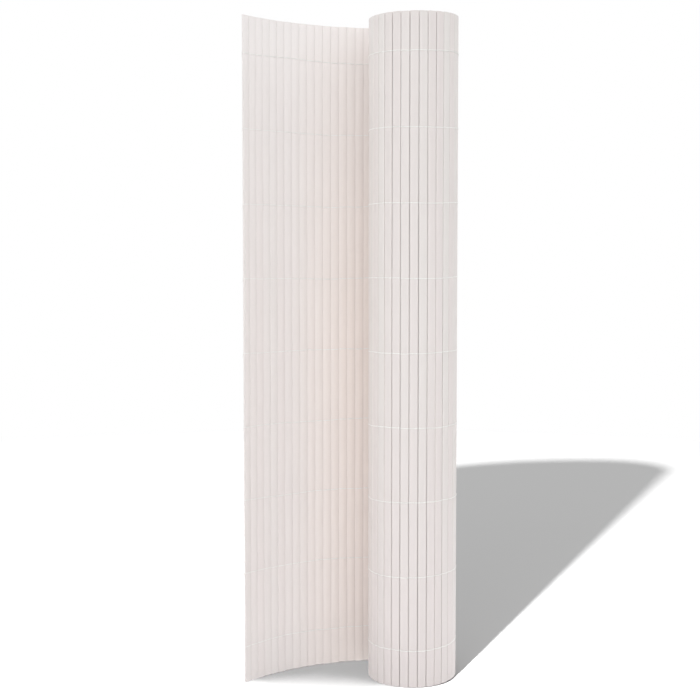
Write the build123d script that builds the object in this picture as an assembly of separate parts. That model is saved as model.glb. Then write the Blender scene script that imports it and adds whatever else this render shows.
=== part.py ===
from build123d import *
import math
import os

# Driving dimensions, in millimetres and degrees

# The mat: hollow slats side by side, tied together by rows of twine
screen_height = 900.0  # the length of every slat
screen_length = 3000.0  # the mat laid flat, from its first slat to its last
slat_pitch = 12.0  # from one slat to the next along the mat
slat_gap = 0.5  # the slit between two slats
slat_thickness = 2.6  # over its two flat faces
edge_bevel = 1.3  # width of the bevels that bring the two faces together at each long edge
face_wall = 0.6  # wall between a face and the hollow
shoulder_wall = 0.7  # from a bevel's start to the hollow, along the face

# The twine: one strand on each face of the mat in every row
twine_rows = 9
twine_margin = 50.0  # from the slats' ends to the first and the last row
twine_thickness = 0.4
twine_clearance = 0.1  # between a strand and the faces that it lies on
taut_slats = 2  # slats that a strand bridges in one straight run on the leaf's hollow side

# How the mat stands: a roll around an open core, with the last slats left open as a leaf
core_radius = 25.5  # from the roll's axis to the middle of the innermost slats
leaf_bearing = 85.0  # where the leaf leaves the roll, counted from +X towards +Y
leaf_radius = 268.0  # how gently the leaf goes on bending the same way
leaf_slats = 22  # slats in the leaf, the one at its free edge included
close_slats = 2  # slats of the leaf that still lie against the turn below

# Sizes that follow
slat_width = slat_pitch - slat_gap
slat_count = round(screen_length / slat_pitch)
rolled_slats = slat_count - leaf_slats
strand_offset = slat_thickness / 2 + twine_clearance + twine_thickness / 2
turn_pitch = slat_thickness + 2 * (twine_thickness + twine_clearance)
roll_growth = turn_pitch / (2 * math.pi)  # radius gained for each radian of the roll
row_pitch = (screen_height - 2 * twine_margin) / (twine_rows - 1)


def slat():
    """One hollow slat with flat faces and bevelled edges, upright on the origin, its width along X."""
    side = slat_width / 2
    flat = side - edge_bevel
    face = slat_thickness / 2
    upper = [(-flat, face), (flat, face), (side, 0)]
    lower = [(flat, -face), (-flat, -face), (-side, 0)]
    outline = make_face(Polyline(*upper, *lower, close=True))
    hollow = Rectangle(2 * (flat - shoulder_wall), slat_thickness - 2 * face_wall)
    return extrude(outline - hollow, amount=screen_height)


def turned_after(distance):
    """Angle in radians that the spiral has turned through at a distance from its core end."""
    reach = math.sqrt(core_radius**2 + 2 * roll_growth * distance)
    return (reach - core_radius) / roll_growth


roll_turned = turned_after(rolled_slats * slat_pitch)


def rolled_place(distance):
    """Plan position and heading of the rolled mat at a distance from its core end."""
    turned = turned_after(distance)
    radius = core_radius + roll_growth * turned
    bearing = math.radians(leaf_bearing) + turned - roll_turned
    heading = bearing + math.pi / 2 - math.atan2(roll_growth, radius)
    return radius * math.cos(bearing), radius * math.sin(bearing), heading


def leaf_place(distance):
    """Plan position and heading of the open leaf at a distance from where it leaves the roll."""
    x, y, start = rolled_place(rolled_slats * slat_pitch)
    heading = start + distance / leaf_radius
    x += leaf_radius * (math.sin(heading) - math.sin(start))
    y += leaf_radius * (math.cos(start) - math.cos(heading))
    return x, y, heading


def slat_between(joint, next_joint):
    """Plan position and heading of the slat that reaches from one joint of the mat to the next."""
    across_x = next_joint[0] - joint[0]
    across_y = next_joint[1] - joint[1]
    return joint[0] + across_x / 2, joint[1] + across_y / 2, math.atan2(across_y, across_x)


def stand(place, shape):
    """The shape moved to a place in plan, with its X axis along the mat."""
    x, y, heading = place
    return Pos(x, y, 0) * Rot(0, 0, math.degrees(heading)) * shape


def beside(place, along, offset):
    """A plan point off a slat's middle; positive offsets lie on the face towards the roll's axis."""
    x, y, heading = place
    forward = Vector(math.cos(heading), math.sin(heading))
    inward = Vector(-math.sin(heading), math.cos(heading))
    return Vector(x, y) + forward * along + inward * offset


def crossings(places, offset):
    """Plan points where a line at this offset passes from each slat to the next, ends included."""
    starts = [beside(place, -slat_pitch / 2, offset) for place in places]
    ends = [beside(place, slat_pitch / 2, offset) for place in places]
    between = [(end + start) * 0.5 for end, start in zip(ends, starts[1:])]
    return [starts[0], *between, ends[-1]]


def outer_line(offset):
    """The strand's line over the outermost turn and on along the back of the leaf."""
    return crossings(turns[1] + leaf_places, -offset)


def inner_line(offset):
    """The strand's line along the front of the leaf, to its free edge."""
    line = crossings(leaf_places, offset)
    return [*line[close_slats:-1:taut_slats], line[-1]]


def strand(line):
    """One strand of twine along a line, taut over the faces of the slats."""
    near = line(strand_offset - twine_thickness / 2)
    far = line(strand_offset + twine_thickness / 2)
    outline = make_face(Polyline(*near, *reversed(far), close=True))
    return extrude(outline, amount=twine_thickness / 2, both=True)


# Joints where the mat bends and places of the slats between them, from the core out along the leaf
roll_joints = [rolled_place(i * slat_pitch) for i in range(rolled_slats + 1)]
leaf_joints = [leaf_place(i * slat_pitch) for i in range(leaf_slats + 1)]
roll_places = [slat_between(*pair) for pair in zip(roll_joints, roll_joints[1:])]
leaf_places = [slat_between(*pair) for pair in zip(leaf_joints, leaf_joints[1:])]

# Turns counted inwards from where the leaf leaves the roll
turns = {}
for i, place in enumerate(roll_places):
    inwards = roll_turned - turned_after((i + 0.5) * slat_pitch)
    turns.setdefault(int(inwards / (2 * math.pi)) + 1, []).append(place)

parts = {}
one_slat = slat()

for number, place in enumerate(leaf_places[:-1], start=1):
    parts[f"leaf_slat_{number:02d}"] = stand(place, one_slat)
parts["free_edge_slat"] = stand(leaf_places[-1], one_slat)

for number, places in turns.items():
    parts[f"roll_turn_{number:02d}"] = Compound([stand(place, one_slat) for place in places])

outer_strand = strand(outer_line)
inner_strand = strand(inner_line)
for row in range(twine_rows):
    height = twine_margin + row * row_pitch
    parts[f"twine_row_{row + 1}"] = Pos(0, 0, height) * Compound([outer_strand, inner_strand])

# The origin is on the ground, under the middle of the whole screen
box = Compound(list(parts.values())).bounding_box()
to_origin = Pos(-box.center().X, -box.center().Y, 0)

os.makedirs("parts", exist_ok=True)
for name, shape in parts.items():
    export_step(to_origin * shape, f"parts/{name}.step")
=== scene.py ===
import math
import random
from dataclasses import dataclass

import bmesh
import bpy
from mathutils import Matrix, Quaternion, Vector


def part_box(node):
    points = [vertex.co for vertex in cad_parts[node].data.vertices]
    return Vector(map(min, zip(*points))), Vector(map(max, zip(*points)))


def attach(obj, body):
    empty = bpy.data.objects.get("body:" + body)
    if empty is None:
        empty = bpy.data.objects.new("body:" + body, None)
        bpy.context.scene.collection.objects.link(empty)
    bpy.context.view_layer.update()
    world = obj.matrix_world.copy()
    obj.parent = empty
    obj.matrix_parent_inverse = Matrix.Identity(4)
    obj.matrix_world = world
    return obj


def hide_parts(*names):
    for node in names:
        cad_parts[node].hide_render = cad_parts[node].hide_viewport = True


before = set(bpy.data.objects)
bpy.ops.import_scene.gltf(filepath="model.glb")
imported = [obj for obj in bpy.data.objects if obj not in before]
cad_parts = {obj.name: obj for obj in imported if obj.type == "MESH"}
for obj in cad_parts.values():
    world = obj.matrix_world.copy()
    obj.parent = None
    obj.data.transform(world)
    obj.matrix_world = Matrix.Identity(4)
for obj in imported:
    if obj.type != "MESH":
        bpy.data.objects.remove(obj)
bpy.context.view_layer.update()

MM = 0.001
UPWARD = Vector((0, 0, 1))

# Where the mat is, read from the frame

LEAF_NODES = sorted(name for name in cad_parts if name.startswith("leaf_slat_"))
TURN_NODES = sorted(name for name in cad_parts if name.startswith("roll_turn_"))
TWINE_NODES = sorted(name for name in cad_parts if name.startswith("twine_row_"))
FREE_EDGE_NODE = "free_edge_slat"
MERGE_DISTANCE = 0.01 * MM
SIZE_DIGITS = 5  # corners closer than this many decimals of a metre are one corner

# How unevenly the slats hang in their twine

SLAT_SEED = 41
LENGTH_STEP = 0.45 * MM  # slats are cut and pulled a little high or low
LEAN = 0.24 * MM  # from one end of a slat to the other, along the mat
BOW = 0.14 * MM
LEAF_LOOSENESS = 0.2  # the leaf's slats lie closer, so they lean and bow less
TILT = math.radians(1.1)  # how far a slat lies turned about its own length
TWIST = math.radians(0.7)  # from one end of a slat to the other
ROLL_RISE = 2.4 * MM  # the roll has crept up on its outer side
ROLL_RISE_BEARING = math.radians(-10)
ROLL_RISE_SPREAD = math.radians(55)

# The slats' finer form

FACE_CROWN = 0.28 * MM
END_SOFTENING = 0.14 * MM
HOLLOW_CORNER = 0.4 * MM
LEAF_CLOSING = 0.20 * MM  # how far each long edge of the leaf's slats comes nearer to the next
ELLIPSE = (1.0, 1.0)  # form of the long edges on the inner and the outer side
ROLL_FULLNESS = (0.75, 0.95)  # below 1 they are fuller than an ellipse
LEAF_FULLNESS = (0.36, 0.85)
EDGE_STEPS = 8
FACE_STEPS = 6
SEEN_SPANS = 10  # steps along a slat's length
HIDDEN_SPANS = 4
SHARP_ANGLE = math.radians(50)

# The twine

TWINE_SEED = 7
TWINE_RADIUS = 0.26 * MM
PRESSED_RADIUS = 0.18 * MM  # where another turn lies on it
TWINE_LAY = 5.0 * MM  # length in which the two plies turn once round each other
TWINE_SIDES = 6
TWINE_WAIST = 0.18  # how deep the groove between the two plies is
TWINE_SPREAD = 2.6  # how much wider than thick a strand lies on a face
SEEN_STEPS = 5  # of a strand from one point of its route to the next, where it shows
EDGE_SHARE = 0.12  # of the way across a slat, where its twine comes onto the face
DRIFT_RATES = (0.11, 0.29, 0.53)  # radians of slow wandering for each slat
WANDER = 1.3 * MM
JITTER = 0.35 * MM
KNOT_SIZE = 0.55 * MM
CORE_KNOT_SIDE = 1  # on the slat's inner face, in the open core
FREE_KNOT_SIDE = -1  # on the leaf's back
KNOT_STEPS = 40
TREFOIL_REACH = 3  # of the knot's plain formula, from its middle
TAIL_LENGTH = 7.0 * MM
TAIL_STEPS = 12
TAIL_SPLAY = 0.35
TAIL_LENGTHS = (0.6, 1.0)  # shares of the full length and splay that tails have
TAIL_SPLAYS = (0.3, 1.0)
TAIL_LIFT = 0.12  # how far a tail stands off the face, for each length that it hangs down

# The camera, at the photograph's viewing angle

CAMERA_SIDE = -0.0014
CAMERA_DISTANCE = 1.689
CAMERA_HEIGHT = 0.5639
CAMERA_TILT = math.radians(3.146)
CAMERA_LENS = 63.26
SENSOR_WIDTH = 36.0
CAMERA_SHIFT = -0.02

# The light and the floor

KEY_HEIGHT = math.radians(31)
KEY_FROM_LEFT = math.radians(20)
KEY_STRENGTH = 0.25
KEY_SOFTNESS = math.radians(25)
SKY_STRENGTH = 1.02
FLOOR_LAMP_PLACE = (-0.33, -1.116, 1.472)  # spreads the shadow as wide as the photograph's
FLOOR_LAMP_POWER = 13.5
FLOOR_LAMP_RADIUS = 0.02
FLOOR_SIZE = 14.0
FLOOR_FADE = (2.15, 2.6)  # distances between which the floor goes over into the white backdrop

# The finishes

WHITE = (1, 1, 1, 1)
PVC_PINK = (0.752, 0.698, 0.684, 1)  # each slat's outer face has a tone between these two
PVC_CREAM = (0.761, 0.731, 0.708, 1)
PVC_INNER_PAINTED_LIGHT = (0.857, 0.798, 0.782, 1)  # and the face towards the roll's axis one between these, painted lighter than the outer face for light bounced inside the leaf's curve
PVC_INNER_CREAM_PAINTED_LIGHT = (0.860, 0.818, 0.800, 1)
PVC_PAINTED_TOP_LIGHT = (0.900, 0.866, 0.856, 1)  # painted light: the inner faces lighter near the top
PVC_PAINTED_CREASE_BOUNCE = (0.955, 0.856, 0.802, 1)  # painted warm bounce light on the inner faces where the leaf comes off the roll
# painted shade: darker and a little pinker towards the foot; slow random drifts also take this tone
PVC_DRIFT_AND_FOOT_SHADE = (0.700, 0.640, 0.634, 1)
PVC_LINE = (0.725, 0.673, 0.652, 1)
PAINTED_TOP_LIGHT_SHARE = 0.85  # of the painted top light at the very top
PAINTED_BOUNCE_REACH = (20 * MM, 110 * MM)  # distances over which the painted crease bounce fades
PAINTED_BOUNCE_SHARE = 0.3  # of that painted bounce at the very top
INNER_FOOT_SHADE_SHARE = 0.25  # of the painted foot shade at the very bottom
OUTER_FOOT_SHADE_SHARE = 0.8
DRIFT_SHARE = 0.10  # of the same darker tone in slow random drifts
LINE_SHARE = 0.12
PVC_LINES = {"Across": 800.0, "Length": 3.0, "Detail": 3.0}
PVC_MOTTLE = {"Coarse": 8.0, "Fine": 140.0, "Share": 0.3}
MOTTLE_DETAIL = 2.0
NOISE_RANGE = (0.3, 0.7)  # where nearly all of a noise's values lie
DRIFT_RELIEF = 0.3  # height of the drifts beside that of the lines
PVC_BUMP = 0.25
PVC_RELIEF = 0.03 * MM
PVC_GRAIN = (0.4, 1.6)  # lines and drifts together, where the finish is smoothest and roughest
PVC_ROUGHNESS = (0.40, 0.54)
PVC_IOR = 1.53
TWINE_WHITE = (0.95, 0.945, 0.93, 1)
TWINE_SHADE = (0.87, 0.86, 0.84, 1)
TWINE_FIBRES = {"Coarse": 900.0, "Fine": 4200.0, "Share": 0.5}
TWINE_BUMP = 0.5
TWINE_RELIEF = 0.05 * MM
TWINE_ROUGHNESS = (0.88, 0.70)
FLOOR_SEEN = (0.44, 0.44, 0.44, 1)
FLOOR_BOUNCE = (0.26, 0.26, 0.26, 1)
FLOOR_PAINTED_CONTACT_SHADE = (0.13, 0.13, 0.13, 1)
CONTACT_REACH = 0.16  # how far round a spot of the floor the contact shade looks
CONTACT_RANGE = (0.48, 0.88)  # openness to the sky over which the contact shade fades
CONTACT_SPREAD = (0.11, 0.17)  # and the distances from the leaf's middle


@dataclass
class Slat:
    """One slat as it stands: its place in plan, its directions, and its own unevenness."""

    node: str
    centre: Vector
    along: Vector
    lean: float = 0.0
    bow: float = 0.0
    tilt: float = 0.0
    twist: float = 0.0
    rise: float = 0.0
    tone: float = 0.5

    @property
    def inward(self):
        return Vector((-self.along.y, self.along.x))

    def at(self, s, n, z):
        """The point at s along the mat, n towards the roll's axis and height z on this slat."""
        up = z / slat_length - 0.5
        turn = self.tilt + self.twist * up
        cos, sin = math.cos(turn), math.sin(turn)
        sideways = self.lean * up + self.bow * math.cos(math.pi * up)
        plan = self.centre + self.along * (s * cos - n * sin + sideways) + self.inward * (s * sin + n * cos)
        return Vector((plan.x, plan.y, z + self.rise))


def loose_shapes(node):
    """The corners of each separate solid in a node."""
    shape = bmesh.new()
    shape.from_mesh(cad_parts[node].data)
    bmesh.ops.remove_doubles(shape, verts=shape.verts, dist=MERGE_DISTANCE)
    seen, found = set(), []
    for first in shape.verts:
        if first in seen:
            continue
        seen.add(first)
        reached, corners = [first], []
        while reached:
            corner = reached.pop()
            corners.append(corner.co.copy())
            for edge in corner.link_edges:
                other = edge.other_vert(corner)
                if other not in seen:
                    seen.add(other)
                    reached.append(other)
        found.append(corners)
    shape.free()
    return found


def read_slats(node):
    """The slats of a node; the corner that is farthest out in plan shows which way a slat lies."""
    slats = []
    for corners in loose_shapes(node):
        centre = sum((corner.xy for corner in corners), Vector((0, 0))) / len(corners)
        edge = max((corner.xy - centre for corner in corners), key=lambda reach: reach.length)
        slats.append(Slat(node, centre, edge.normalized()))
    return slats


def section_corners(node):
    """Half sizes of a slat's section: (along, across) of its hollow, its flat faces and its long edges."""
    corners = loose_shapes(node)[0]
    slat = read_slats(node)[0]
    halves = set()
    for corner in corners:
        reach = corner.xy - slat.centre
        half = (abs(reach.dot(slat.along)), abs(reach.dot(slat.inward)))
        halves.add(tuple(round(size, SIZE_DIGITS) for size in half))
    return sorted(halves)


def face_the_same_way(slat, neighbour):
    """Turns a slat's direction to run on from its neighbour's."""
    if slat.along.dot(neighbour.along) < 0:
        slat.along = -slat.along


def read_mat():
    """All slats in the order of the mat, from the core to the free edge."""
    mat = [slat for node in LEAF_NODES for slat in read_slats(node)]
    first, second = mat[0], mat[1]
    if first.along.dot(second.centre - first.centre) < 0:
        first.along = -first.along
    mat += read_slats(FREE_EDGE_NODE)
    for slat, before in zip(mat[1:], mat):
        face_the_same_way(slat, before)
    step = (second.centre - first.centre).length
    rolled = [slat for node in TURN_NODES for slat in read_slats(node)]
    while rolled:
        expected = mat[0].centre - mat[0].along * step
        inner = min(rolled, key=lambda slat: (slat.centre - expected).length)
        rolled.remove(inner)
        face_the_same_way(inner, mat[0])
        mat.insert(0, inner)
    return mat, step


def plan_width(node):
    """A node's size along X."""
    low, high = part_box(node)
    return high.x - low.x


mat, pitch = read_mat()
(hollow_half, hollow_depth), (flat_half, face_half), (side_half, _) = section_corners(LEAF_NODES[0])
slat_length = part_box(LEAF_NODES[0])[1].z
turn_pitch = (plan_width(TURN_NODES[0]) - plan_width(TURN_NODES[1])) / 2

core_low, core_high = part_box(TURN_NODES[-1])
roll_axis = ((core_low + core_high) / 2).xy
leaf_start = read_slats(LEAF_NODES[0])[0].centre
crease = Vector((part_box(TURN_NODES[0])[0].x, (roll_axis.y + leaf_start.y) / 2))
leaf_low, leaf_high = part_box(LEAF_NODES[len(LEAF_NODES) // 2])
leaf_middle = ((leaf_low + leaf_high) / 2).xy


def make_uneven():
    """Gives each slat its own small lean, bow, turn, height and tone."""
    chance = random.Random(SLAT_SEED)
    for slat in mat:
        loose = 1.0 if slat.node in TURN_NODES else LEAF_LOOSENESS
        slat.lean = chance.uniform(-LEAN, LEAN) * loose
        slat.bow = chance.uniform(-BOW, BOW) * loose
        slat.tilt = chance.uniform(-TILT, TILT)
        slat.twist = chance.uniform(-TWIST, TWIST)
        slat.tone = chance.random()
        slat.rise = chance.uniform(0, LENGTH_STEP)
        if slat.node in TURN_NODES:
            out = slat.centre - roll_axis
            off = math.remainder(math.atan2(out.y, out.x) - ROLL_RISE_BEARING, math.tau)
            slat.rise += ROLL_RISE * math.exp(-((off / ROLL_RISE_SPREAD) ** 2))


def is_pressed(number, side):
    """Whether another turn lies against this face of a slat."""
    slat = mat[number]
    beyond = slat.centre + slat.inward * side * turn_pitch
    others = [other for k, other in enumerate(mat) if abs(k - number) > 1]
    return any((other.centre - beyond).length < pitch / 2 for other in others)


make_uneven()
pressed = {(number, side): is_pressed(number, side) for number in range(len(mat)) for side in (-1, 1)}


# Meshes


def new_piece(name, vertices, faces, material, **tones):
    """A smooth-shaded piece with one material, and with the values of each tone at its points."""
    mesh = bpy.data.meshes.new(name)
    mesh.from_pydata(vertices, [], faces)
    mesh.validate()
    mesh.polygons.foreach_set("use_smooth", [True] * len(mesh.polygons))
    mesh.set_sharp_from_angle(angle=SHARP_ANGLE)
    for tone, values in tones.items():
        mesh.attributes.new(tone, "FLOAT", "POINT").data.foreach_set("value", values)
    mesh.materials.append(material)
    piece = bpy.data.objects.new(name, mesh)
    bpy.context.scene.collection.objects.link(piece)
    return piece


def rounded_section(flat, edge, half, crown, fullness=ELLIPSE):
    """Points round a flat section: two faces crowned in the middle and two round edges."""
    shoulder = half - crown
    points = []
    for side in (1, -1):
        for i in range(EDGE_STEPS + 1):
            angle = math.pi * (i / EDGE_STEPS - 0.5)
            power = fullness[0] if side * angle > 0 else fullness[1]
            out = max(0.0, math.cos(angle)) ** power
            up = math.copysign(abs(math.sin(angle)) ** power, angle)
            points.append((side * (flat + edge * out), side * shoulder * up))
        for i in range(1, FACE_STEPS):
            s = flat * (1 - 2 * i / FACE_STEPS)
            points.append((side * s, side * (half - crown * (s / flat) ** 2)))
    return points


def slat_sections(closing, fullness):
    """A slat's section on its outside, the same drawn in at its ends, and its hollow."""
    edge = side_half - flat_half + closing
    outer = rounded_section(flat_half, edge, face_half, FACE_CROWN, fullness)
    softened = rounded_section(
        flat_half, edge - END_SOFTENING, face_half - END_SOFTENING, FACE_CROWN, fullness
    )
    hollow = rounded_section(hollow_half - HOLLOW_CORNER, HOLLOW_CORNER, hollow_depth, 0.0)
    return outer, softened, hollow


ROLLED_SECTIONS = slat_sections(0.0, ROLL_FULLNESS)
LEAF_SECTIONS = slat_sections(LEAF_CLOSING, LEAF_FULLNESS)


def add_tube(vertices, faces, rings):
    """Joins rings of points, given in order, into a closed band that ends where it began."""
    count = len(rings[0])
    start = len(vertices)
    for ring in rings:
        vertices.extend(ring)
    for r in range(len(rings)):
        near, far = start + r * count, start + (r + 1) % len(rings) * count
        for i in range(count):
            j = (i + 1) % count
            faces.append((near + i, near + j, far + j, far + i))


def add_slat(vertices, faces, slat, spans):
    """A hollow slat, up the outside and down the hollow; returns how much each point is on its inner face."""
    heights = [slat_length * i / spans for i in range(spans + 1)]
    heights[0] += END_SOFTENING
    heights[-1] -= END_SOFTENING
    outer, softened, hollow = ROLLED_SECTIONS if slat.node in TURN_NODES else LEAF_SECTIONS
    profile = [(softened, 0.0)]
    profile += [(outer, z) for z in heights]
    profile += [(softened, slat_length), (hollow, slat_length)]
    profile += [(hollow, slat_length / 2), (hollow, 0.0)]
    rings = [[slat.at(s, n, z) for s, n in section] for section, z in profile]
    add_tube(vertices, faces, rings)
    return [n / face_half / 2 + 0.5 for section, _ in profile for _, n in section]


def make_slats(node, material):
    """All slats of one node as one piece in the node's place."""
    vertices, faces, tones, inner = [], [], [], []
    inside = node in TURN_NODES[1:-1]
    for slat in mat:
        if slat.node != node:
            continue
        inner += add_slat(vertices, faces, slat, HIDDEN_SPANS if inside else SEEN_SPANS)
        tones += [slat.tone] * (len(vertices) - len(tones))
    piece = new_piece("pvc_" + node, vertices, faces, material, slat_tone=tones, inner_face=inner)
    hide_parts(node)
    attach(piece, "root")


def smooth_path(points, steps):
    """A curve through points, with its own number of steps in each span."""
    path = []
    last = len(points) - 1
    for i, count in enumerate(steps):
        before, a, b, after = (points[max(0, min(last, i + k))] for k in (-1, 0, 1, 2))
        for step in range(count):
            t = step / count
            bend_in = (b - before) / 2
            bend_out = (after - a) / 2
            rise = b - a
            path.append(
                a
                + bend_in * t
                + (rise * 3 - bend_in * 2 - bend_out) * t**2
                + (bend_in + bend_out - rise * 2) * t**3
            )
    path.append(points[last])
    return path


def add_cord(vertices, faces, path, radii, spread=1.0):
    """Two plies twisted together along a path, closed at both ends, and flattened by the spread."""
    rings = []
    side = UPWARD
    travelled = 0.0
    for i, point in enumerate(path):
        ahead = path[min(i + 1, len(path) - 1)] - path[max(i - 1, 0)]
        if spread > 1:
            side = UPWARD
        side = (side - ahead * (side.dot(ahead) / ahead.length_squared)).normalized()
        other = ahead.normalized().cross(side)
        if i:
            travelled += (point - path[i - 1]).length
        twist = math.tau * travelled / TWINE_LAY
        ring = []
        for k in range(TWINE_SIDES):
            angle = math.tau * k / TWINE_SIDES
            reach = radii[i] * (1 - TWINE_WAIST + TWINE_WAIST * math.cos(2 * angle))
            across, off = math.cos(angle + twist) * spread, math.sin(angle + twist)
            ring.append(point + (side * across + other * off) * reach)
        rings.append(ring)
    start = len(vertices)
    for ring in rings:
        vertices.extend(ring)
    for r in range(len(rings) - 1):
        near = start + r * TWINE_SIDES
        for k in range(TWINE_SIDES):
            j = (k + 1) % TWINE_SIDES
            faces.append((near + k, near + j, near + TWINE_SIDES + j, near + TWINE_SIDES + k))
    end = len(vertices) - TWINE_SIDES
    faces.append(tuple(range(start + TWINE_SIDES - 1, start - 1, -1)))
    faces.append(tuple(range(end, end + TWINE_SIDES)))


def row_heights(height, chance):
    """Height of a twine row at each gap of the mat, wandering a little."""
    phases = [chance.uniform(0, math.tau) for _ in DRIFT_RATES]
    heights = []
    for gap in range(len(mat) + 1):
        drift = sum(math.sin(gap * rate + phase) for rate, phase in zip(DRIFT_RATES, phases))
        heights.append(height + WANDER * drift / len(phases) + chance.uniform(-JITTER, JITTER))
    return heights


def gap_point(gap, z):
    """The middle of the gap before a slat."""
    return (mat[gap - 1].at(pitch / 2, 0, z) + mat[gap].at(-pitch / 2, 0, z)) / 2


def strand_stops(heights, first_side):
    """Where a strand passes, with its thickness there and whether it shows; it changes sides in every gap."""
    stops = []
    for number, slat in enumerate(mat):
        side = first_side if number % 2 == 0 else -first_side
        seen = not pressed[number, side]
        radius = TWINE_RADIUS if seen else PRESSED_RADIUS
        start, end = heights[number], heights[number + 1]
        if number:
            stops.append((gap_point(number, start + side * TWINE_RADIUS), PRESSED_RADIUS, seen))
        shoulder = side * (face_half - FACE_CROWN + radius)
        middle = side * (face_half + radius)
        on_face = (
            (EDGE_SHARE, -flat_half, shoulder),
            (0.5, 0.0, middle),
            (1 - EDGE_SHARE, flat_half, shoulder),
        )
        for share, s, n in on_face:
            stops.append((slat.at(s, n, start + (end - start) * share), radius, seen))
    return stops


def add_strand(vertices, faces, heights, first_side, core_knot, free_knot):
    """One strand of a row, from knot to knot; a strand on the other face comes round the long edge to it."""
    stops = strand_stops(heights, first_side)
    round_edge = side_half + PRESSED_RADIUS
    if first_side == -CORE_KNOT_SIDE:
        stops.insert(0, (mat[0].at(-round_edge, 0, heights[0]), PRESSED_RADIUS, True))
    last_side = first_side if len(mat) % 2 else -first_side
    if last_side == -FREE_KNOT_SIDE:
        stops.append((mat[-1].at(round_edge, 0, heights[-1]), PRESSED_RADIUS, True))
    stops = [(core_knot, TWINE_RADIUS, True), *stops, (free_knot, TWINE_RADIUS, True)]
    steps = [SEEN_STEPS if a[2] or b[2] else 1 for a, b in zip(stops, stops[1:])]
    path = smooth_path([stop[0] for stop in stops], steps)
    radii = []
    for count, a, b in zip(steps, stops, stops[1:]):
        radii += [a[1] + (b[1] - a[1]) * step / count for step in range(count)]
    add_cord(vertices, faces, path, [*radii, TWINE_RADIUS], TWINE_SPREAD)


def add_knot(vertices, faces, place, outward, chance):
    """A tight knot on a face of the slat at the end of a row, with two short tails that hang down."""
    turn = Quaternion((0, 0, 1), math.atan2(outward.y, outward.x))
    points = []
    for i in range(KNOT_STEPS + 1):
        t = math.tau * i / KNOT_STEPS
        loop = Vector(
            (math.sin(t) + 2 * math.sin(2 * t), math.cos(t) - 2 * math.cos(2 * t), -math.sin(3 * t))
        )
        points.append(place + turn @ (loop * KNOT_SIZE / TREFOIL_REACH))
    add_cord(vertices, faces, points, [TWINE_RADIUS] * len(points))
    for lean in (-TAIL_SPLAY, TAIL_SPLAY):
        length = TAIL_LENGTH * chance.uniform(*TAIL_LENGTHS)
        lean *= chance.uniform(*TAIL_SPLAYS)
        tail = []
        for i in range(TAIL_STEPS + 1):
            t = i / TAIL_STEPS
            tail.append(place + turn @ (Vector((TAIL_LIFT * t, lean * t * t, -t)) * length))
        add_cord(vertices, faces, tail, [TWINE_RADIUS] * len(tail))


def make_twine(node, number, material):
    """One row of twine: two strands that cross in every gap, knotted at both ends."""
    chance = random.Random(TWINE_SEED + number)
    low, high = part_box(node)
    heights = row_heights((low.z + high.z) / 2, chance)
    vertices, faces = [], []
    core, free = mat[0], mat[-1]
    off_face = face_half + KNOT_SIZE
    core_knot = core.at(-flat_half, CORE_KNOT_SIDE * off_face, heights[0])
    free_knot = free.at(flat_half, FREE_KNOT_SIDE * off_face, heights[-1])
    for first_side in (1, -1):
        add_strand(vertices, faces, heights, first_side, core_knot, free_knot)
    add_knot(vertices, faces, core_knot, core.inward * CORE_KNOT_SIDE, chance)
    add_knot(vertices, faces, free_knot, free.inward * FREE_KNOT_SIDE, chance)
    piece = new_piece("knotted_" + node, vertices, faces, material)
    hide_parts(node)
    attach(piece, "root")


# Finishes


class Nodes:
    """Adds and links the nodes of one material or node group."""

    def __init__(self, tree):
        self.tree = tree
        tree.nodes.clear()

    def add(self, kind, inputs=None, **settings):
        node = self.tree.nodes.new(kind)
        for name, value in settings.items():
            setattr(node, name, value)
        for name, value in (inputs or {}).items():
            self.set(node.inputs[name], value)
        return node

    def set(self, socket, value):
        if isinstance(value, bpy.types.NodeSocket):
            self.tree.links.new(value, socket)
        else:
            socket.default_value = value

    def math(self, operation, a, b=0.0):
        node = self.add("ShaderNodeMath", {0: a, 1: b}, operation=operation)
        return node.outputs["Value"]

    def mix(self, factor, a, b):
        node = self.add("ShaderNodeMix", data_type="RGBA")
        colours = [socket for socket in node.inputs if socket.type == "RGBA"]
        self.set(node.inputs["Factor"], factor)
        self.set(colours[0], a)
        self.set(colours[1], b)
        return next(socket for socket in node.outputs if socket.type == "RGBA")

    def distance(self, a, b):
        node = self.add("ShaderNodeVectorMath", {0: a, 1: b}, operation="DISTANCE")
        return node.outputs["Value"]

    def fit(self, value, low, high, new_low=0.0, new_high=1.0):
        limits = {"From Min": low, "From Max": high, "To Min": new_low, "To Max": new_high}
        node = self.add("ShaderNodeMapRange", {"Value": value, **limits})
        return node.outputs["Result"]


def group(name, inputs, outputs):
    """A node group with named sockets: {name: default} in and {name: type} out."""
    tree = bpy.data.node_groups.new(name, "ShaderNodeTree")
    nodes = Nodes(tree)
    for socket, default in inputs.items():
        made = tree.interface.new_socket(socket, in_out="INPUT", socket_type="NodeSocketFloat")
        made.default_value = default
    for socket, kind in outputs.items():
        tree.interface.new_socket(socket, in_out="OUTPUT", socket_type=kind)
    given = nodes.add("NodeGroupInput")
    result = nodes.add("NodeGroupOutput")
    return tree, nodes, given.outputs, result.inputs


def drawn_lines():
    """Fine lines along the height, as a die leaves them on a drawn plastic."""
    tree, nodes, given, result = group("drawn_lines", PVC_LINES, {"Line": "NodeSocketFloat"})
    place = nodes.add("ShaderNodeTexCoord").outputs["Object"]
    stretch = nodes.add(
        "ShaderNodeCombineXYZ", {"X": given["Across"], "Y": given["Across"], "Z": given["Length"]}
    )
    scaled = nodes.add("ShaderNodeVectorMath", {0: place, 1: stretch.outputs["Vector"]}, operation="MULTIPLY")
    noise = nodes.add(
        "ShaderNodeTexNoise", {"Vector": scaled.outputs["Vector"], "Scale": 1.0, "Detail": given["Detail"]}
    )
    nodes.set(result["Line"], nodes.fit(noise.outputs["Fac"], *NOISE_RANGE))
    return tree


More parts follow.
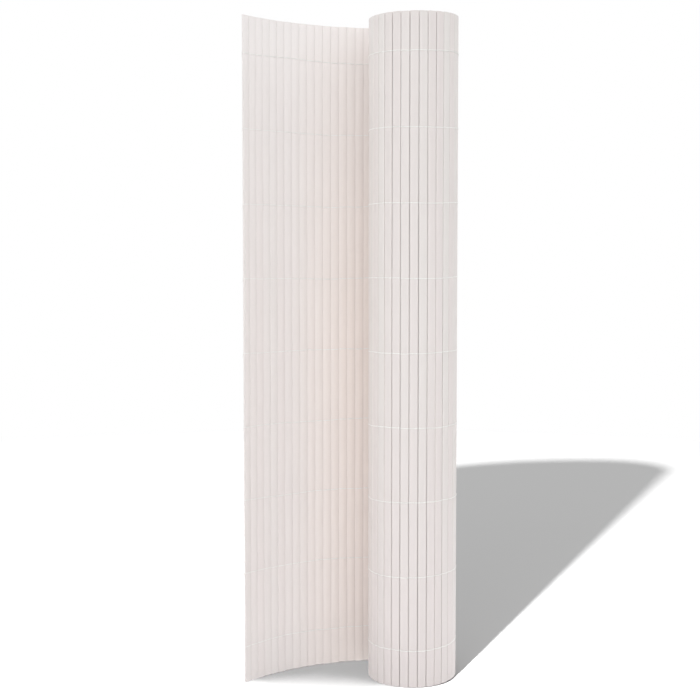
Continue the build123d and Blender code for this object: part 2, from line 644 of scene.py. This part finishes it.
def soft_mottle():
    """Slow drifts of tone over a surface, coarse and fine together."""
    tree, nodes, given, result = group("soft_mottle", PVC_MOTTLE, {"Mottle": "NodeSocketFloat"})
    place = nodes.add("ShaderNodeTexCoord").outputs["Object"]
    spot = {"Vector": place, "Detail": MOTTLE_DETAIL}
    coarse = nodes.add("ShaderNodeTexNoise", {**spot, "Scale": given["Coarse"]})
    fine = nodes.add("ShaderNodeTexNoise", {**spot, "Scale": given["Fine"]})
    weighed = nodes.math("MULTIPLY", fine.outputs["Fac"], given["Share"])
    rest = nodes.math("SUBTRACT", 1.0, given["Share"])
    kept = nodes.math("MULTIPLY", coarse.outputs["Fac"], rest)
    nodes.set(result["Mottle"], nodes.fit(nodes.math("ADD", kept, weighed), *NOISE_RANGE))
    return tree


def material(name):
    """An empty material and its nodes."""
    made = bpy.data.materials.new(name)
    made.use_nodes = True
    return made, Nodes(made.node_tree)


def finish_material(nodes, shader):
    """Puts a shader on the surface."""
    output = nodes.add("ShaderNodeOutputMaterial")
    nodes.set(output.inputs["Surface"], shader)


def pvc_finish(lines, mottle):
    """Satin off-white PVC: a tone for each slat, paler inside and at the top by painted light, warm at the
    crease by painted bounce light, darker at the foot by painted shade.
    """
    made, nodes = material("satin_white_pvc")
    drawn = nodes.add("ShaderNodeGroup", PVC_LINES, node_tree=lines).outputs["Line"]
    drift = nodes.add("ShaderNodeGroup", PVC_MOTTLE, node_tree=mottle).outputs["Mottle"]
    tone = nodes.add("ShaderNodeAttribute", attribute_name="slat_tone").outputs["Fac"]
    inner = nodes.add("ShaderNodeAttribute", attribute_name="inner_face").outputs["Fac"]
    place = nodes.add("ShaderNodeTexCoord").outputs["Object"]
    height = nodes.add("ShaderNodeSeparateXYZ", {"Vector": place}).outputs["Z"]
    middle = slat_length / 2

    # painted light: the inner faces lighter than the outer, for light bounced inside the leaf's curve
    inside = nodes.mix(tone, PVC_INNER_PAINTED_LIGHT, PVC_INNER_CREAM_PAINTED_LIGHT)
    # painted light: lighter still towards the top
    inside = nodes.mix(nodes.fit(height, middle, slat_length, 0.0, PAINTED_TOP_LIGHT_SHARE), inside, PVC_PAINTED_TOP_LIGHT)
    # painted warm bounce light near the crease between the leaf and the roll
    spot = nodes.add("ShaderNodeCombineXYZ", {"X": crease.x, "Y": crease.y, "Z": height})
    near = nodes.fit(nodes.distance(place, spot.outputs["Vector"]), *PAINTED_BOUNCE_REACH, 1.0, 0.0)
    share = nodes.fit(height, slat_length, middle, PAINTED_BOUNCE_SHARE, 1.0)
    inside = nodes.mix(nodes.math("MULTIPLY", near, share), inside, PVC_PAINTED_CREASE_BOUNCE)
    # painted shade: darker towards the foot
    inside = nodes.mix(nodes.fit(height, middle, 0.0, 0.0, INNER_FOOT_SHADE_SHARE), inside, PVC_DRIFT_AND_FOOT_SHADE)

    outside = nodes.mix(tone, PVC_PINK, PVC_CREAM)
    # painted shade: darker towards the foot
    outside = nodes.mix(nodes.fit(height, middle, 0.0, 0.0, OUTER_FOOT_SHADE_SHARE), outside, PVC_DRIFT_AND_FOOT_SHADE)

    colour = nodes.mix(inner, outside, inside)
    colour = nodes.mix(nodes.math("MULTIPLY", drift, DRIFT_SHARE), colour, PVC_DRIFT_AND_FOOT_SHADE)
    colour = nodes.mix(nodes.math("MULTIPLY", drawn, LINE_SHARE), colour, PVC_LINE)
    relief = nodes.math("ADD", drawn, nodes.math("MULTIPLY", drift, DRIFT_RELIEF))
    bump = nodes.add("ShaderNodeBump", {"Strength": PVC_BUMP, "Distance": PVC_RELIEF, "Height": relief})
    shader = nodes.add(
        "ShaderNodeBsdfPrincipled",
        {
            "Base Color": colour,
            "Roughness": nodes.fit(nodes.math("ADD", drawn, drift), *PVC_GRAIN, *PVC_ROUGHNESS),
            "Normal": bump.outputs["Normal"],
            "IOR": PVC_IOR,
        },
    )
    finish_material(nodes, shader.outputs["BSDF"])
    return made


def twine_finish(mottle):
    """White synthetic twine: matt, with loose fibres and a little shade in its lay."""
    made, nodes = material("white_twine")
    fibres = nodes.add("ShaderNodeGroup", TWINE_FIBRES, node_tree=mottle).outputs["Mottle"]
    bump = nodes.add("ShaderNodeBump", {"Strength": TWINE_BUMP, "Distance": TWINE_RELIEF, "Height": fibres})
    shader = nodes.add(
        "ShaderNodeBsdfPrincipled",
        {
            "Base Color": nodes.mix(fibres, TWINE_SHADE, TWINE_WHITE),
            "Roughness": nodes.fit(fibres, 0.0, 1.0, *TWINE_ROUGHNESS),
            "Normal": bump.outputs["Normal"],
        },
    )
    finish_material(nodes, shader.outputs["BSDF"])
    return made


def seen_directly(nodes):
    """One for what the camera sees, also in a mirror or through glass."""
    rays = nodes.add("ShaderNodeLightPath").outputs
    seen = nodes.math("MAXIMUM", rays["Is Camera Ray"], rays["Is Glossy Ray"])
    return nodes.math("MAXIMUM", seen, rays["Is Transmission Ray"])


def floor_finish():
    """A plain matt floor that keeps the shadow, with a contact shade painted under the leaf, and goes over
    into the white backdrop.
    """
    made, nodes = material("plain_floor")
    seen = seen_directly(nodes)
    place = nodes.add("ShaderNodeTexCoord").outputs["Object"]
    reach = nodes.add("ShaderNodeVectorMath", {0: place}, operation="LENGTH").outputs["Value"]
    # painted contact shade: the floor's colour is darkened where it is closed in, near the leaf's middle
    open_sky = nodes.add("ShaderNodeAmbientOcclusion", {"Distance": CONTACT_REACH}).outputs["AO"]
    closed = nodes.fit(open_sky, *CONTACT_RANGE, 1.0, 0.0)
    under_leaf = nodes.fit(nodes.distance(place, leaf_middle.to_3d()), *CONTACT_SPREAD, 1.0, 0.0)
    shown = nodes.mix(nodes.math("MULTIPLY", closed, under_leaf), FLOOR_SEEN, FLOOR_PAINTED_CONTACT_SHADE)
    lit = nodes.add("ShaderNodeBsdfDiffuse", {"Color": nodes.mix(seen, FLOOR_BOUNCE, shown)})
    white = nodes.add("ShaderNodeEmission", {"Color": WHITE, "Strength": 1.0})
    far = nodes.math("MULTIPLY", seen, nodes.fit(reach, *FLOOR_FADE))
    both = nodes.add("ShaderNodeMixShader", {0: far, 1: lit.outputs[0], 2: white.outputs[0]})
    finish_material(nodes, both.outputs[0])
    return made


# The stage


def make_floor():
    """A wide floor under the object."""
    half = FLOOR_SIZE / 2
    mesh = bpy.data.meshes.new("floor")
    corners = [(-half, -half, 0), (half, -half, 0), (half, half, 0), (-half, half, 0)]
    mesh.from_pydata(corners, [], [(0, 1, 2, 3)])
    mesh.materials.append(floor_finish())
    floor = bpy.data.objects.new("floor", mesh)
    bpy.context.scene.collection.objects.link(floor)
    return floor


def make_key():
    """Soft light on the object from the front left, a third of the way up."""
    lamp = bpy.data.lights.new("key", "SUN")
    lamp.energy = KEY_STRENGTH
    lamp.angle = KEY_SOFTNESS
    key = bpy.data.objects.new("key", lamp)
    level = math.cos(KEY_HEIGHT)
    travel = Vector((level * math.sin(KEY_FROM_LEFT), level * math.cos(KEY_FROM_LEFT), -math.sin(KEY_HEIGHT)))
    key.rotation_mode = "QUATERNION"
    key.rotation_quaternion = travel.to_track_quat("-Z", "Y")
    bpy.context.scene.collection.objects.link(key)


def make_floor_lamp(floor):
    """A lamp that lights the floor alone, evenly at any distance, and draws the shadow on it."""
    lamp = bpy.data.lights.new("floor_lamp", "POINT")
    lamp.shadow_soft_size = FLOOR_LAMP_RADIUS
    lamp.use_nodes = True
    nodes = Nodes(lamp.node_tree)
    even = nodes.add("ShaderNodeLightFalloff", {"Strength": FLOOR_LAMP_POWER}).outputs["Constant"]
    light = nodes.add("ShaderNodeEmission", {"Color": WHITE, "Strength": even})
    output = nodes.add("ShaderNodeOutputLight")
    nodes.set(output.inputs["Surface"], light.outputs[0])
    floor_lamp = bpy.data.objects.new("floor_lamp", lamp)
    floor_lamp.location = FLOOR_LAMP_PLACE
    bpy.context.scene.collection.objects.link(floor_lamp)
    lit = bpy.data.collections.new("lit_floor")
    lit.objects.link(floor)
    floor_lamp.light_linking.receiver_collection = lit


def make_backdrop():
    """Even studio light all round, white where it is seen."""
    world = bpy.data.worlds.new("studio")
    world.use_nodes = True
    nodes = Nodes(world.node_tree)
    sky = nodes.add("ShaderNodeBackground", {"Color": WHITE, "Strength": SKY_STRENGTH})
    backdrop = nodes.add("ShaderNodeBackground", {"Color": WHITE, "Strength": 1.0})
    seen = seen_directly(nodes)
    both = nodes.add("ShaderNodeMixShader", {0: seen, 1: sky.outputs[0], 2: backdrop.outputs[0]})
    output = nodes.add("ShaderNodeOutputWorld")
    nodes.set(output.inputs["Surface"], both.outputs[0])
    bpy.context.scene.world = world


def make_camera():
    """The camera at the photograph's viewing angle."""
    lens = bpy.data.cameras.new("camera")
    lens.lens = CAMERA_LENS
    lens.sensor_width = SENSOR_WIDTH
    lens.shift_y = CAMERA_SHIFT
    camera = bpy.data.objects.new("camera", lens)
    camera.location = (CAMERA_SIDE, -CAMERA_DISTANCE, CAMERA_HEIGHT)
    camera.rotation_euler = (math.pi / 2 - CAMERA_TILT, 0, 0)
    bpy.context.scene.collection.objects.link(camera)
    bpy.context.scene.camera = camera


lines, mottle = drawn_lines(), soft_mottle()
pvc, twine = pvc_finish(lines, mottle), twine_finish(mottle)
for node in [*LEAF_NODES, FREE_EDGE_NODE, *TURN_NODES]:
    make_slats(node, pvc)
for number, node in enumerate(TWINE_NODES):
    make_twine(node, number, twine)
make_floor_lamp(make_floor())
make_key()
make_backdrop()
make_camera()
bpy.context.scene.view_settings.view_transform = "Standard"
